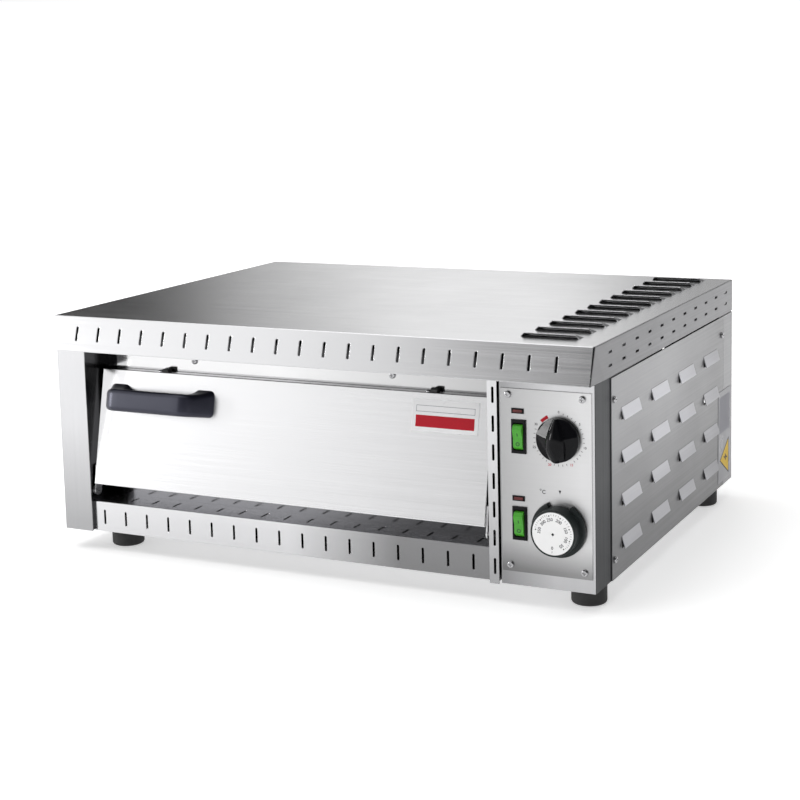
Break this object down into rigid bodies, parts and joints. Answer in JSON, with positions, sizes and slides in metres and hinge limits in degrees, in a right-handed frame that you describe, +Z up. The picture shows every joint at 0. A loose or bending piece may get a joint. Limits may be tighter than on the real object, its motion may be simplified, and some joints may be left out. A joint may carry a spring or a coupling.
{
  "type": "countertop pizza oven",
  "caption": "Low stainless countertop pizza oven with a leaning drop-down door, a slotted hood, and a control column with timer, thermostat and rocker switches beside a louvred side.",
  "frame": {"origin": "centre of the whole oven's bounding box at the worktop, under the feet", "axes": "+X to the right along the oven's width, +Y to the back, away from the door, +Z up"},
  "size_m": [0.5836, 0.4752, 0.2468],
  "materials": {
    "stainless_sheet": "brushed",
    "door_sheet": "fine brushed",
    "bright_plate": "satin",
    "screw_steel": "polished",
    "hinge_steel": "turned",
    "chamber_steel": "aluminised",
    "element_sheath": "heat-darkened",
    "refractory": "rough fired",
    "mineral_wool": "fibrous",
    "black_handle": "satin",
    "black_gloss": "gloss",
    "black_satin": "satin",
    "green_key": "gloss",
    "red_lens": "gloss",
    "dial_white": "satin",
    "label_grey": "satin",
    "copper_probe": "drawn",
    "rubber_black": "moulded"
  },
  "bodies": {
    "cabinet": {"top_cover": "stainless_sheet", "left_casing": "stainless_sheet", "slotted_upright": "stainless_sheet", "front_rail": "stainless_sheet", "base_pan": "stainless_sheet", "chamber_front": "stainless_sheet", "compartment_wall": "stainless_sheet", "control_housing": "stainless_sheet", "side_panel": "stainless_sheet", "rear_post": "stainless_sheet", "back_panel": "stainless_sheet", "control_plate": "bright_plate", "lintel_screws": "screw_steel", "control_plate_screws": "screw_steel", "side_panel_screws": "screw_steel", "rear_screws": "screw_steel", "foot_screws": "screw_steel", "hinge_bushes": "hinge_steel", "chamber_shell": "chamber_steel", "stone_supports": "chamber_steel", "element_supports": "chamber_steel", "upper_element": "element_sheath", "lower_element": "element_sheath", "stone_deck": "refractory", "insulation_wrap": "mineral_wool", "insulation_floor": "mineral_wool", "insulation_rear": "mineral_wool", "upper_switch_bezel": "black_gloss", "lower_switch_bezel": "black_gloss", "lamp_bodies": "black_gloss", "cable_gland": "black_satin", "timer_body": "black_satin", "thermostat_body": "black_satin", "terminal_block": "black_satin", "upper_lamp_lens": "red_lens", "lower_lamp_lens": "red_lens", "rating_plate": "label_grey", "thermostat_probe": "copper_probe", "front_left_foot": "rubber_black", "front_right_foot": "rubber_black", "rear_left_foot": "rubber_black", "rear_right_foot": "rubber_black"},
    "door": {"door_outer_skin": "door_sheet", "door_inner_skin": "door_sheet", "door_insulation": "mineral_wool", "hinge_ears": "hinge_steel", "hinge_pins": "hinge_steel", "door_handle": "black_handle", "door_screws": "screw_steel", "door_bumpers": "rubber_black", "badge_plate": "label_grey"},
    "upper_rocker": {"upper_rocker": "green_key"},
    "lower_rocker": {"lower_rocker": "green_key"},
    "timer_knob": {"timer_knob": "black_gloss", "timer_shaft": "hinge_steel"},
    "thermostat_knob": {"thermostat_knob": "black_satin", "thermostat_shaft": "hinge_steel", "thermostat_dial": "dial_white"}
  },
  "joints": [
    {"name": "door_hinge", "type": "hinge", "parent": "cabinet", "child": "door", "pos_m": [-0.03715, -0.2104, 0.062], "axis": [1, 0, 0], "range_deg": [0, 100]},
    {"name": "upper_switch", "type": "hinge", "parent": "cabinet", "child": "upper_rocker", "pos_m": [0.2161, -0.2182, 0.158], "axis": [-1, 0, 0], "range_deg": [0, 18]},
    {"name": "lower_switch", "type": "hinge", "parent": "cabinet", "child": "lower_rocker", "pos_m": [0.2161, -0.2182, 0.0782], "axis": [-1, 0, 0], "range_deg": [0, 18]},
    {"name": "timer_turn", "type": "hinge", "parent": "cabinet", "child": "timer_knob", "pos_m": [0.2541, -0.2284, 0.1584], "axis": [0, 1, 0], "range_deg": [-35, 303]},
    {"name": "thermostat_turn", "type": "hinge", "parent": "cabinet", "child": "thermostat_knob", "pos_m": [0.2539, -0.2284, 0.0768], "axis": [0, 1, 0], "range_deg": [-183, 82]}
  ]
}
